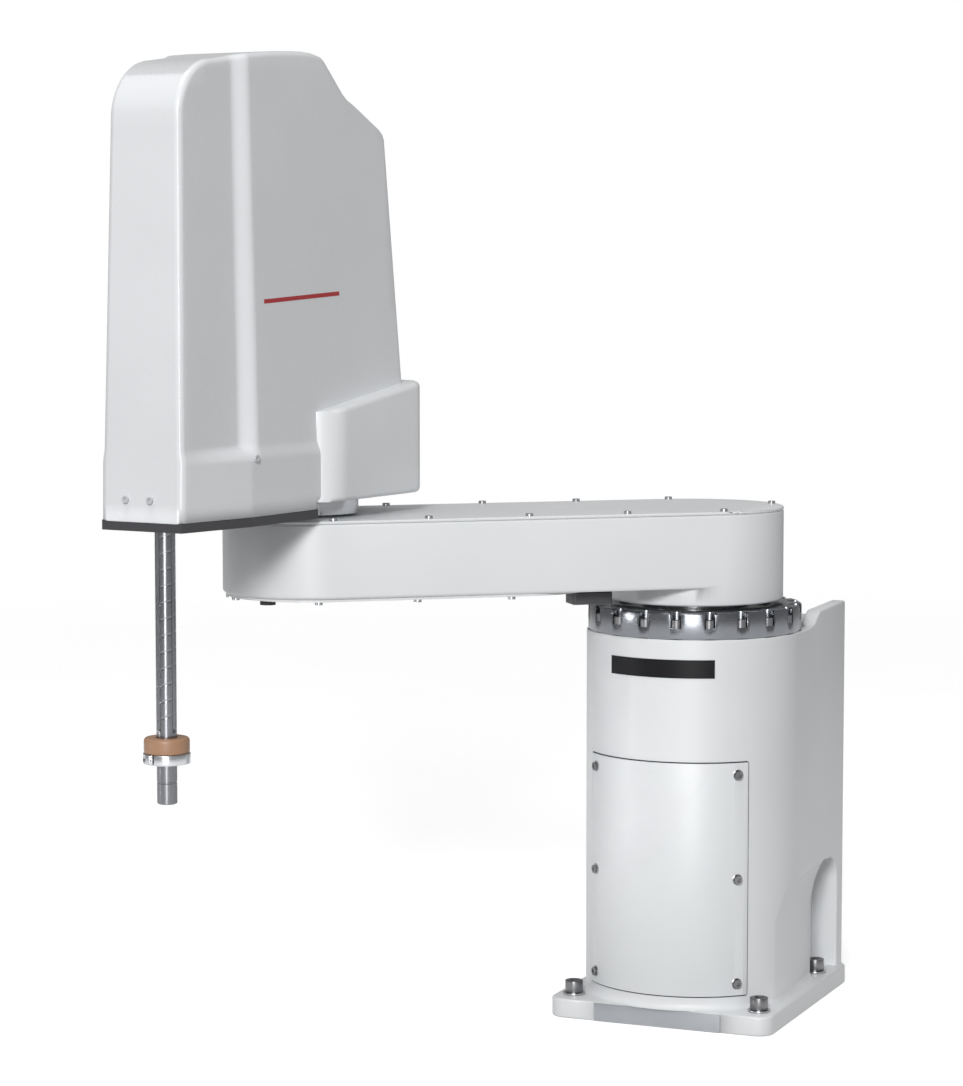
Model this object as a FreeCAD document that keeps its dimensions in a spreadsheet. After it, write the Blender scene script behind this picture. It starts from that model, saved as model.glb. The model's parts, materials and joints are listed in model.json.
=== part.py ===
import FreeCAD, Part
import math
import os
import re

import Sketcher
from FreeCAD import Placement, Rotation, Vector

# A four-axis SCARA robot arm: a bolted-down column, two horizontal links and a
# lifting, rotating tool shaft. The origin is on the first joint's axis, at the
# mounting face. +Z is up and -Y is the front, where the column's service cover is.
# Each link is drawn along its own +X and then turned into place.

os.makedirs("parts", exist_ok=True)
doc = FreeCAD.newDocument("ScaraArm")

# ---------------------------------------------------------------- dimensions
DRIVING = {
    # mounting plate and column
    "plate_width": 310, "plate_depth": 364, "plate_front": 144, "plate_thick": 26,
    "plate_corner": 22, "pad_width": 176, "pad_proud": 1.5,
    "column_radius": 145, "column_top": 515, "column_wall": 13, "deck_thick": 20,
    "deck_bore": 92, "deck_room_top": 225, "cavity_half": 98, "base_floor": 14,
    "ear_top": 536, "ear_near": 104, "ear_foot": 56, "ear_thick": 20,
    "flat_half": 134, "flat_top": 135, "flat_run": 65, "flat_reach": 141, "flat_wall": 18,
    "pocket_near": 106, "pocket_far": 192, "pocket_corner": 35, "pocket_height": 158,
    "pocket_depth": 36, "bolt_pitch_wide": 260, "bolt_pitch_deep": 252, "bolt_front": 110,
    "bolt_radius": 8, "bolt_shank_radius": 7.4, "bolt_reach": 22, "bolt_head": 12,
    "washer_radius": 15, "washer_thick": 3,
    # front cover, label and connector panel
    "cover_bottom": 44, "cover_top": 353, "cover_half_angle": 48, "cover_thick": 3,
    "cover_lap": 18, "window_width": 176, "cover_screw_angle": 42, "cover_screw_head": 5.5,
    "label_bottom": 465, "label_top": 489, "label_half_angle": 29.5, "label_thick": 0.8,
    "panel_width": 220, "panel_bottom": 52, "panel_top": 470, "panel_thick": 3,
    "panel_lap": 16,
    # first joint
    "ring_radius": 143, "ring_bore": 102, "ring_top": 550, "ring_bolt_circle": 136,
    "ring_bolt_count": 20, "ring_bolt_seat": 530, "race_split": 88, "race_height": 24,
    "hub_radius": 72, "bearing_gap": 0.4, "motor_side": 130, "j1_spline_bottom": 470,
    "j1_spline_radius": 104, "j1_shaft_radius": 11,
    # first link
    "arm1_heading": 219, "arm1_length": 525, "arm1_radius": 118, "arm1_wall": 16,
    "arm1_floor": 12, "boss_bottom": 556, "arm1_bottom": 580, "arm1_top": 680,
    "lid_thick": 4, "tray_thick": 3, "tray_start": 265, "arm1_screw_offset": 109,
    "plug_along": 600, "plug_across": 63, "lug_near": 147, "lug_far": 201,
    # second joint
    "neck_radius": 40, "neck_flange": 58, "neck_flange_bottom": 683, "seat_radius": 78,
    "seat_bottom": 606, "elbow_race_bottom": 650, "elbow_race_split": 66,
    "elbow_hub_radius": 52, "j2_shaft_radius": 9, "j2_motor_side": 100,
    "j2_motor_height": 120,
    # second link
    "arm2_heading": 262.3, "arm2_length": 325, "hood_front": 373, "hood_rear": 105,
    "boss_front": 109, "boss_rear": 128, "boss_half": 96, "boss_wall": 12,
    "boss_low_top": 818, "boss_high_top": 852, "boss_corner": 30, "boss_front_corner": 44,
    "strip_bottom": 685, "hood_foot": 697, "arm2_bottom": 705,
    "hood_half": 60, "hood_high_half": 51, "side_high_half": 62, "skirt_half": 78,
    "skirt_reach": 252, "strip_rear": 106,
    "hood_top": 1266, "hood_wall": 4, "floor_thick": 12,
    "crease_height": 775, "passage_half": 54, "shaft_passage": 41,
    # tool shaft and its nuts
    "shaft_radius": 12.5, "shaft_bore": 9, "shaft_bottom": 349, "shaft_top": 955,
    "groove_radius": 2, "band_rise": 26, "collar_radius": 29, "collar_bottom": 399,
    "damper_bottom": 412, "damper_top": 431, "slide_gap": 0.05, "nut_radius": 26,
    "mid_plate": 763, "top_plate": 822, "carrier_thick": 10, "wheel_radius": 32,
    "drive_wheel_radius": 20, "roll_belt_bottom": 731, "lift_belt_bottom": 790,
    "belt_width": 15, "lift_motor_place": 215, "roll_motor_place": 110,
}

sheet = doc.addObject("Spreadsheet::Sheet", "Dims")
for row, (alias, value) in enumerate(DRIVING.items(), start=1):
    sheet.set(f"A{row}", alias)
    sheet.set(f"B{row}", str(value))
    sheet.setAlias(f"B{row}", alias)
doc.recompute()


def size(alias):
    return float(sheet.get(alias))


def formula(text):
    """Write a formula of driving dimensions the way the document reads it."""
    def name(match):
        word = match.group()
        return "Dims." + word if word in DRIVING else word
    return re.sub(r"[a-z][a-z0-9_]*", name, text)


def bind(item, prop, value):
    """Set a property to a number, or tie it to the sheet when it is a formula."""
    if isinstance(value, str):
        item.setExpression(prop, formula(value))
    else:
        setattr(item, prop, value)


def bind_base(item, at):
    for letter, value in zip("xyz", at):
        item.setExpression("Placement.Base." + letter, formula(str(value)))


# ------------------------------------------------------------ building blocks
NODES = []
BASE = Placement()


def node(label, item, frame=BASE):
    """Name a finished sub-part and turn it into its link's place."""
    item.Label = label
    item.Placement = frame
    NODES.append(item)
    return item


def box(name, corner, sides):
    item = doc.addObject("Part::Box", name)
    for prop, value in zip(("Length", "Width", "Height"), sides):
        bind(item, prop, value)
    bind_base(item, corner)
    return item


def cylinder(name, radius, height, at=(0, 0, 0)):
    item = doc.addObject("Part::Cylinder", name)
    bind(item, "Radius", radius)
    bind(item, "Height", height)
    bind_base(item, at)
    return item


def fuse(name, *items):
    if len(items) == 1:
        return items[0]
    item = doc.addObject("Part::MultiFuse", name)
    item.Shapes = list(items)
    item.Refine = True
    return item


def cut(name, solid, *tools):
    """Take the tools away from the solid, one after the other."""
    for index, tool in enumerate(tools, start=1):
        step = doc.addObject("Part::Cut", name if index == len(tools) else f"{name}_{index}")
        step.Base = solid
        step.Tool = tool
        step.Refine = True
        solid = step
    return solid


def tube(name, outer, inner, height, at=(0, 0, 0)):
    return cut(name, cylinder(name + "_outer", outer, height, at),
               cylinder(name + "_bore", inner, height, at))


def sector(name, outer, inner, bottom, top, half_angle):
    """A curved sheet on the column's front, centred on -Y."""
    shell = tube(name, outer, inner, f"{top} - {bottom}", (0, 0, bottom))
    turn = -90 - size(half_angle)
    for item in (shell.Base, shell.Tool):
        item.setExpression("Angle", formula(f"2 * {half_angle}"))
        item.Placement = Placement(Vector(), Rotation(Vector(0, 0, 1), turn))
        bind_base(item, (0, 0, bottom))
    return shell


def capsule(name, radius, start, length, bottom, height):
    """A flat bar with round ends along +X, from start to start + length."""
    return fuse(name,
                cylinder(name + "_near", radius, height, (start, 0, bottom)),
                cylinder(name + "_far", radius, height, (f"{start} + {length}", 0, bottom)),
                box(name + "_bar", (start, f"-({radius})", bottom),
                    (length, f"2 * ({radius})", height)))


def fillet(name, solid, radius, chosen):
    """Round the edges of a solid that chosen(edge) picks."""
    doc.recompute()
    picked = [(index, radius, radius) for index, edge in enumerate(solid.Shape.Edges, start=1)
              if chosen(edge)]
    item = doc.addObject("Part::Fillet", name)
    item.Base = solid
    item.Edges = picked
    return item


def upright(edge):
    box_of_edge = edge.BoundBox
    return box_of_edge.ZLength > 1 and box_of_edge.XLength < 0.01 and box_of_edge.YLength < 0.01


def lying_at(height):
    def chosen(edge):
        return edge.BoundBox.ZLength < 0.01 and abs(edge.BoundBox.ZMin - height) < 0.01
    return chosen


def polygon_sketch(body, name, role, points, shift=None):
    """A closed outline on one of the body's origin planes; every corner is bound."""
    sketch = body.newObject("Sketcher::SketchObject", name)
    plane = next(item for item in body.Origin.OriginFeatures if item.Role == role)
    sketch.AttachmentSupport = (plane, "")
    sketch.MapMode = "FlatFace"
    if shift is not None:
        sketch.setExpression("AttachmentOffset.Base.z", formula(shift))
    corners = [tuple(value_of(part) for part in point) for point in points]
    count = len(points)
    for index in range(count):
        start = Vector(*corners[index], 0)
        end = Vector(*corners[(index + 1) % count], 0)
        sketch.addGeometry(Part.LineSegment(start, end), False)
    for index in range(count):
        sketch.addConstraint(
            Sketcher.Constraint("Coincident", index, 2, (index + 1) % count, 1))
    for index, point in enumerate(points):
        for kind, axis, part, value in (("DistanceX", -2, point[0], corners[index][0]),
                                        ("DistanceY", -1, point[1], corners[index][1])):
            hold_corner(sketch, index, kind, axis, part, value)
    return sketch


def hold_corner(sketch, index, kind, axis, part, value):
    if abs(value) < 1e-9:
        sketch.addConstraint(Sketcher.Constraint("PointOnObject", index, 1, axis))
        return
    ends = (-1, 1, index, 1) if value > 0 else (index, 1, -1, 1)
    number = sketch.addConstraint(Sketcher.Constraint(kind, *ends, abs(value)))
    if isinstance(part, str):
        sign = "" if value > 0 else "-1 * "
        sketch.setExpression(f"Constraints[{number}]", formula(f"{sign}({part})"))


def value_of(part):
    """The present number of a formula, worked out from the sheet."""
    if not isinstance(part, str):
        return float(part)
    probe = doc.getObject("Probe") or doc.addObject("Part::Plane", "Probe")
    return float(probe.evalExpression(formula(part)))


def turned(name, points):
    """A solid of revolution about Z, from an outline of (radius, height) corners."""
    body = doc.addObject("PartDesign::Body", name)
    sketch = polygon_sketch(body, name + "_outline", "XZ_Plane", points)
    turn = body.newObject("PartDesign::Revolution", name + "_turn")
    turn.Profile = sketch
    turn.ReferenceAxis = (sketch, ["V_Axis"])
    turn.Angle = 360
    return body


def padded(name, role, points, length, shift=None, both_ways=False):
    body = doc.addObject("PartDesign::Body", name)
    pad = body.newObject("PartDesign::Pad", name + "_pad")
    pad.Profile = polygon_sketch(body, name + "_outline", role, points, shift)
    bind(pad, "Length", length)
    pad.Midplane = both_ways
    body.Tip = pad
    return body


def at_points(points, height):
    """Places on a level face, each facing up."""
    return [Placement(Vector(x, y, height), Rotation()) for x, y in points]


def facing(position, direction):
    return Placement(Vector(*position), Rotation(Vector(0, 0, 1), Vector(*direction)))


def pins(name, places, radius, bottom, height):
    """One cylinder per place, along the place's own +Z, starting bottom along it."""
    items = []
    for index, place in enumerate(places):
        item = doc.addObject("Part::Cylinder", f"{name}_{index}")
        bind(item, "Radius", radius)
        bind(item, "Height", height)
        item.Placement = place.multiply(Placement(Vector(0, 0, bottom), Rotation()))
        items.append(item)
    return items


def cap_screws(name, places, thread_radius, length, head_radius, head_height):
    """Socket screws whose heads sit on the given places."""
    heads = pins(name + "_head", places, head_radius, 0, head_height)
    threads = pins(name + "_thread", places, thread_radius, -length, length)
    sockets = []
    for index, place in enumerate(places):
        socket = doc.addObject("Part::Prism", f"{name}_socket_{index}")
        socket.Polygon = 6
        socket.Circumradius = head_radius * 0.56
        socket.Height = head_height
        socket.Placement = place.multiply(Placement(Vector(0, 0, head_height * 0.5), Rotation()))
        sockets.append(socket)
    return cut(name, fuse(name + "_bodies", *heads, *threads), fuse(name + "_sockets", *sockets))


def drilled(name, solid, places, radius, depth):
    """Drill a hole of the given depth below each place, clear above it."""
    drills = pins(name + "_drill", places, radius, -depth, depth + 40)
    return cut(name, solid, fuse(name + "_drills", *drills))


def ring_of(count, radius, start=0.0, centre=(0.0, 0.0)):
    angles = [math.radians(start + 360.0 * index / count) for index in range(count)]
    return [(centre[0] + radius * math.cos(a), centre[1] + radius * math.sin(a)) for a in angles]


# ------------------------------------------------------------- shared places
PLATE_BACK = size("plate_depth") - size("plate_front")
HALF_BOLTS = size("bolt_pitch_wide") / 2
BOLT_REAR = size("bolt_pitch_deep") - size("bolt_front")
BASE_BOLTS = [(x, y) for x in (-HALF_BOLTS, HALF_BOLTS) for y in (-size("bolt_front"), BOLT_REAR)]
RING_BOLTS = ring_of(int(size("ring_bolt_count")), size("ring_bolt_circle"), 9)

ARM1 = Placement(Vector(), Rotation(Vector(0, 0, 1), size("arm1_heading")))
ELBOW = ARM1.multVec(Vector(size("arm1_length"), 0, 0))
ARM2 = Placement(ELBOW, Rotation(Vector(0, 0, 1), size("arm2_heading")))
WRIST = ARM2.multVec(Vector(size("arm2_length"), 0, 0))
SHAFT = Placement(WRIST, Rotation(Vector(0, 0, 1), size("arm2_heading")))
COVER_SCREW_LENGTH = 12
RING_BOLT_HOLE = 5.2
TAPPED = 2.6
CLEARANCE = 2.8


def cover_screw_places():
    seat = size("column_radius") + size("cover_thick")
    low = size("cover_bottom") + 16
    high = size("cover_top") - 16
    places = []
    for side in (-1, 1):
        angle = math.radians(-90 + side * size("cover_screw_angle"))
        out = (math.cos(angle), math.sin(angle), 0)
        for height in (low, (low + high) / 2, high):
            places.append(facing((seat * out[0], seat * out[1], height), out))
    return places


def panel_screw_places():
    side = size("panel_width") / 2 - 8
    back = PLATE_BACK + size("panel_thick")
    heights = (size("panel_bottom") + 8, (size("panel_bottom") + size("panel_top")) / 2,
               size("panel_top") - 8)
    return [facing((x, back, height), (0, 1, 0)) for x in (-side, side) for height in heights]


# ---------------------------------------------------------------- base column
def make_base_casting():
    plate = fillet("plate", box("plate_block", ("-plate_width / 2", "-plate_front", 0),
                                ("plate_width", "plate_depth", "plate_thick")),
                   size("plate_corner"), upright)
    pad = box("front_pad", ("-pad_width / 2", "-plate_front - pad_proud", 0),
              ("pad_width", "2 * pad_proud", "plate_thick"))
    back = "(plate_depth - plate_front)"
    round_front = cylinder("round_front", "column_radius", "column_top")
    square_back = box("square_back", ("-column_radius", 0, 0),
                      ("2 * column_radius", back, "column_top"))
    # Two ears behind the first joint stand above the ring's seat.
    ears = padded("ears", "YZ_Plane",
                  [("ear_foot", "column_top - 10"), (back, "column_top - 10"), (back, "ear_top"),
                   ("ear_near", "ear_top - 2"), ("ear_near - 9", "ear_top - 6"),
                   ("ear_near - 16", "column_top + 12"), ("ear_near - 27", "column_top + 4"),
                   ("ear_foot", "column_top")],
                  "2 * column_radius", both_ways=True)
    between = box("between_ears", ("ear_thick - column_radius", 0, "column_top"),
                  ("2 * (column_radius - ear_thick)", f"{back} + 1", 60))
    outside = fuse("base_outside", plate, pad, round_front, square_back,
                   cut("ears_parted", ears, between))

    ring_room = cylinder("ring_room", "ring_radius + 5", 60, (0, 0, "column_top"))
    floor_top = "plate_thick + base_floor"
    roof = f"column_top - deck_thick - {floor_top}"
    inner = "(column_radius - column_wall)"
    split = "(flat_top + flat_run + 15)"
    cavity_round = cylinder("cavity_round", inner, f"{roof} + {floor_top} - {split}",
                            (0, 0, split))
    cavity_foot = cylinder("cavity_foot", "flat_half - flat_wall", f"{split} - ({floor_top})",
                           (0, 0, floor_top))
    cavity_high = box("cavity_high", (f"-{inner}", 0, "deck_room_top"),
                      (f"2 * {inner}", f"{back} - column_wall",
                       "column_top - deck_thick - deck_room_top"))
    cavity_low = box("cavity_low", ("-cavity_half", 0, floor_top),
                     ("2 * cavity_half", f"{back} - column_wall",
                      f"deck_room_top - ({floor_top})"))
    deck_hole = cylinder("deck_hole", "deck_bore", 60, (0, 0, "column_top - 40"))
    front_window = box("front_window",
                       ("-window_width / 2", "-column_radius - 10", "cover_bottom + cover_lap"),
                       ("window_width", 70, "cover_top - cover_bottom - 2 * cover_lap"))
    rear_window = box("rear_window",
                      ("-panel_width / 2 + panel_lap", f"{back} - 40", "panel_bottom + panel_lap"),
                      ("panel_width - 2 * panel_lap", 60,
                       "panel_top - panel_bottom - 2 * panel_lap"))
    tools = [ring_room, cavity_round, cavity_foot, cavity_high, cavity_low, deck_hole,
             front_window, rear_window]
    tools += flank_cuts()
    hollow = cut("base_hollow", outside, *tools)
    bolted = drilled("base_bolt_holes", hollow, at_points(BASE_BOLTS, size("plate_thick")),
                     "bolt_radius + 0.5", 40)
    ringed = drilled("ring_bolt_holes", bolted, at_points(RING_BOLTS, size("column_top")),
                     RING_BOLT_HOLE, 14)
    screwed = drilled("cover_screw_holes", ringed, cover_screw_places(), TAPPED,
                      COVER_SCREW_LENGTH + 1)
    done = drilled("panel_screw_holes", screwed, panel_screw_places(), TAPPED,
                   COVER_SCREW_LENGTH + 1)
    node("base_casting", done)


def flank_cuts():
    """What is taken off the column's lower flanks: a flat each, and a bolt pocket."""
    tools = []
    # Each lower flank is cut flat, and the cut runs out to the round wall above.
    # Each rear bolt stands in a deeper pocket at the end of the flat, open towards it.
    for side, sign in (("left", "-"), ("right", "")):
        tools.append(padded(f"flat_{side}", "XZ_Plane",
                            [(sign + "flat_half", "plate_thick"), (sign + "flat_half", "flat_top"),
                             (f"{sign}(column_radius + 1)", "flat_top + flat_run"),
                             (f"{sign}(column_radius + 40)", "flat_top + flat_run"),
                             (f"{sign}(column_radius + 40)", "plate_thick")],
                            "2 * flat_reach", both_ways=True))
        corner = ("-column_radius - 10" if side == "left" else "column_radius - pocket_depth")
        tools.append(box(f"bolt_pocket_{side}", (corner, "pocket_near", "plate_thick"),
                         ("pocket_depth + 10", "pocket_far - pocket_near",
                          "pocket_height - pocket_corner")))
        tools.append(box(f"bolt_pocket_roof_{side}",
                         (corner, "pocket_near + pocket_corner", "plate_thick"),
                         ("pocket_depth + 10", "pocket_far - pocket_near - 2 * pocket_corner",
                          "pocket_height")))
        height = size("plate_thick") + size("pocket_height") - size("pocket_corner")
        round_at = [facing((value_of(corner), y, height), (1, 0, 0))
                    for y in (size("pocket_near") + size("pocket_corner"),
                              size("pocket_far") - size("pocket_corner"))]
        tools += pins(f"bolt_pocket_top_{side}", round_at, "pocket_corner", 0,
                      "pocket_depth + 10")
    return tools


def make_base_fittings():
    cover = sector("cover_sheet", "column_radius + cover_thick", "column_radius",
                   "cover_bottom", "cover_top", "cover_half_angle")
    node("front_cover", drilled("cover_holes", cover, cover_screw_places(), CLEARANCE, 6))
    node("base_cover_screws", fuse("base_screws",
                                   cap_screws("cover_screw", cover_screw_places(), 2.5,
                                              COVER_SCREW_LENGTH, size("cover_screw_head"), 4),
                                   cap_screws("panel_screw", panel_screw_places(), 2.5,
                                              COVER_SCREW_LENGTH, size("cover_screw_head"), 4)))
    node("label_plate", sector("label_sheet", "column_radius + label_thick", "column_radius",
                               "label_bottom", "label_top", "label_half_angle"))
    places = at_points(BASE_BOLTS, size("plate_thick") + size("washer_thick"))
    shank = size("plate_thick") + size("washer_thick")
    heads = cap_screws("base_bolt", places, "bolt_shank_radius", shank, size("bolt_head"), 16)
    threads = pins("base_bolt_end", at_points(BASE_BOLTS, 0), "bolt_radius", -size("bolt_reach"),
                   "bolt_reach")
    node("base_bolts", fuse("base_bolts_whole", heads, *threads))
    washers = pins("washer", at_points(BASE_BOLTS, size("plate_thick")), "washer_radius", 0,
                   "washer_thick")
    node("base_washers", drilled("washer_holes", fuse("washer_discs", *washers), places,
                                 "bolt_radius + 0.3", 6))


def make_connector_panel():
    back = PLATE_BACK
    plate = box("panel_sheet", ("-panel_width / 2", "plate_depth - plate_front", "panel_bottom"),
                ("panel_width", "panel_thick", "panel_top - panel_bottom"))
    node("connector_panel", drilled("panel_holes", plate, panel_screw_places(), CLEARANCE, 6))
    outer = back + size("panel_thick")
    power = facing((-50, outer, 380), (0, 1, 0))
    flange = box("power_flange", (-72, outer, 358), (44, 3, 44))
    barrel = pins("power_barrel", [power], 17, 3, 22)
    nut = pins("power_nut", [power], 20, 3, 8)
    socket = pins("power_socket", [power], 13, 10, 20)
    node("power_connector", cut("power", fuse("power_outside", flange, *barrel, *nut), *socket))
    shell = box("signal_shell", (20, outer, 366), (64, 12, 26))
    recess = box("signal_recess", (24, outer + 4, 370), (56, 10, 18))
    ears = box("signal_ears", (10, outer, 370), (84, 2.5, 18))
    node("signal_connector", cut("signal", fuse("signal_outside", shell, ears), recess))
    fittings = []
    couplings = [facing((x, outer, 300), (0, 1, 0)) for x in (-54, -18, 18, 54)]
    fittings += pins("air_hexagon", couplings, 9, 0, 8)
    fittings += pins("air_collar", couplings, 7, 8, 10)
    bores = pins("air_bore", couplings, 3, 4, 20)
    node("air_couplings", cut("air", fuse("air_outside", *fittings), *bores))


# ---------------------------------------------------------------- first joint
def make_first_joint():
    ring = turned("ring", [("ring_bore", "column_top"), ("ring_radius", "column_top"),
                           ("ring_radius", "ring_top - 2"), ("ring_radius - 2", "ring_top"),
                           ("ring_bore", "ring_top")])
    pockets = at_points(RING_BOLTS, size("ring_bolt_seat"))
    scalloped = drilled("ring_pockets", ring, pockets, 9.5, 0)
    node("crown_ring", drilled("ring_holes", scalloped, pockets, RING_BOLT_HOLE, 20))
    length = size("ring_bolt_seat") - size("column_top") + 12
    node("crown_ring_bolts", cap_screws("ring_bolt", pockets, 5, length, 8, 10))
    # Crossed-roller bearing: outer race on the base, inner race on the first link.
    race_at = (0, 0, "column_top + 5")
    node("j1_bearing_outer", tube("j1_outer_race", "ring_bore", "race_split", "race_height",
                                  race_at))
    node("j1_bearing_inner", tube("j1_inner_race", "race_split - bearing_gap", "hub_radius",
                                  "race_height", race_at), ARM1)
    # Strain-wave reducer below the deck.
    spline_at = (0, 0, "j1_spline_bottom")
    node("j1_circular_spline", tube("j1_circular", "j1_spline_radius", 62, 25, spline_at))
    hub_rim = tube("j1_flex_wall", 60, 52, 30, spline_at)
    hub_top = tube("j1_flex_flange", "hub_radius", 28, "boss_bottom - j1_spline_bottom - 30",
                   (0, 0, "j1_spline_bottom + 30"))
    node("j1_flexspline", fuse("j1_flex", hub_rim, hub_top), ARM1)
    node("j1_wave_generator", tube("j1_wave", 50, "j1_shaft_radius", 18,
                                   (0, 0, "j1_spline_bottom + 4")))
    node("j1_motor_shaft", cylinder("j1_rotor", "j1_shaft_radius", 90,
                                    (0, 0, "j1_spline_bottom - 66")))
    node("j1_motor_mount", tube("j1_mount", "j1_spline_radius", 40, 14,
                                (0, 0, "j1_spline_bottom - 14")))
    half = "motor_side / 2"
    motor = box("j1_motor_block", (f"-{half}", f"-{half}", "j1_spline_bottom - 180"),
                ("motor_side", "motor_side", 166))
    cap = box("j1_encoder", (-42, -42, "j1_spline_bottom - 220"), (84, 84, 40))
    well = cylinder("j1_motor_well", "j1_shaft_radius + bearing_gap", 60,
                    (0, 0, "j1_spline_bottom - 67"))
    node("j1_motor", cut("j1_motor_body", fuse("j1_motor_outside", motor, cap), well))


# ----------------------------------------------------------------- first link
FAR_END = size("arm1_length")
SCREW_OFF = size("arm1_screw_offset")


def lid_screw_places():
    points = [(-SCREW_OFF, 0)]
    points += [(x, side * SCREW_OFF) for side in (-1, 1) for x in (0, 133, 266, 400, FAR_END)]
    points.append((FAR_END + SCREW_OFF, 0))
    return at_points(points, size("arm1_top"))


def tray_screw_places():
    points = [(x, side * SCREW_OFF) for side in (-1, 1) for x in (290, 415)]
    for angle in (80, 10, -10, -80):
        turn = math.radians(angle)
        points.append((FAR_END + SCREW_OFF * math.cos(turn), SCREW_OFF * math.sin(turn)))
    bottom = size("arm1_bottom") - size("tray_thick")
    return [facing((x, y, bottom), (0, 0, -1)) for x, y in points]


def make_arm1():
    wall_top = "arm1_top - lid_thick"
    slab = capsule("arm1_slab", "arm1_radius", 0, "arm1_length", "arm1_bottom",
                   f"{wall_top} - arm1_bottom")
    edged = fillet("arm1_edged", slab, 5, lying_at(size("arm1_bottom")))
    boss = cylinder("arm1_boss", "arm1_radius", "arm1_bottom - boss_bottom + 20",
                    (0, 0, "boss_bottom"))
    body = fuse("arm1_outside", edged, boss)
    room = capsule("arm1_room", "arm1_radius - arm1_wall", 0, "arm1_length",
                   "arm1_bottom + arm1_floor", 120)
    boss_room = cylinder("arm1_boss_room", 86, 60, (0, 0, "boss_bottom + arm1_floor"))
    hollow = cut("arm1_hollow", body, room, boss_room)
    seat = cylinder("elbow_seat", "seat_radius + 10", f"{wall_top} - arm1_bottom - 2",
                    ("arm1_length", 0, "arm1_bottom + 2"))
    rib = box("arm1_rib", (100, -5, "arm1_bottom + 2"), ("arm1_length - 180", 10, 60))
    seated = fuse("arm1_seated", hollow, seat, rib)
    bearing_well = cylinder("elbow_well", "seat_radius", 120,
                            ("arm1_length", 0, "seat_bottom"))
    cable_hole = cylinder("cable_hole", 28, 60, (0, 0, "boss_bottom - 20"))
    bored = cut("arm1_bored", seated, bearing_well, cable_hole)
    lid_holes = at_points([tuple(place.Base)[:2] for place in lid_screw_places()],
                          size("arm1_top") - size("lid_thick"))
    drilled_top = drilled("arm1_lid_drill", bored, lid_holes, TAPPED, 13)
    tray = [facing(tuple(place.Base)[:2] + (size("arm1_bottom"),), (0, 0, -1))
            for place in tray_screw_places()]
    drilled_both = cut("arm1_tray_drill", drilled_top,
                       *pins("arm1_tray_hole", tray, TAPPED, -11, 11))
    plug_hole = cylinder("plug_hole", 8, 14, ("plug_along", "plug_across", "arm1_bottom - 1"))
    node("arm1_casting", cut("arm1_plugged", drilled_both, plug_hole), ARM1)

    lid = capsule("arm1_lid", "arm1_radius", 0, "arm1_length", wall_top, "lid_thick")
    soft = fillet("arm1_lid_edge", lid, 1.5, lying_at(size("arm1_top")))
    neck = cylinder("lid_neck_hole", "neck_radius + 2", 20, ("arm1_length", 0, "arm1_top - 10"))
    node("arm1_top_cover", drilled("arm1_lid_holes", cut("arm1_lid_bored", soft, neck),
                                   lid_screw_places(), CLEARANCE, 6), ARM1)
    tray_sheet = capsule("tray", "arm1_radius - 4", "tray_start", "arm1_length - tray_start",
                         "arm1_bottom - tray_thick", "tray_thick")
    tray_hole = cylinder("tray_plug_hole", 10.5, 10,
                         ("plug_along", "plug_across", "arm1_bottom - 5"))
    tray_cut = cut("tray_open", tray_sheet, tray_hole)
    node("arm1_bottom_cover", cut("tray_drilled", tray_cut,
                                  *pins("tray_hole", tray_screw_places(), CLEARANCE, -5, 6)), ARM1)
    node("arm1_screws", fuse("arm1_all_screws",
                             cap_screws("lid_screw", lid_screw_places(), 2.5, 16, 5, 3.5),
                             cap_screws("tray_screw", tray_screw_places(), 2.5, 13, 5, 3.5)),
         ARM1)
    node("arm1_plug", turned("plug", [(0, "arm1_bottom - 9"), (10, "arm1_bottom - 9"),
                                      (10, "arm1_bottom"), (8, "arm1_bottom"),
                                      (8, "arm1_bottom + 9"), (0, "arm1_bottom + 9")]),
         ARM1.multiply(Placement(Vector(size("plug_along"), size("plug_across"), 0), Rotation())))
    stop = box("stop_block", ("lug_near", 56, "arm1_bottom - tray_thick - 16"),
               ("lug_far - lug_near", 36, 16))
    node("arm1_stop_lug", fillet("stop_edges", stop, 4, upright), ARM1)


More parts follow.
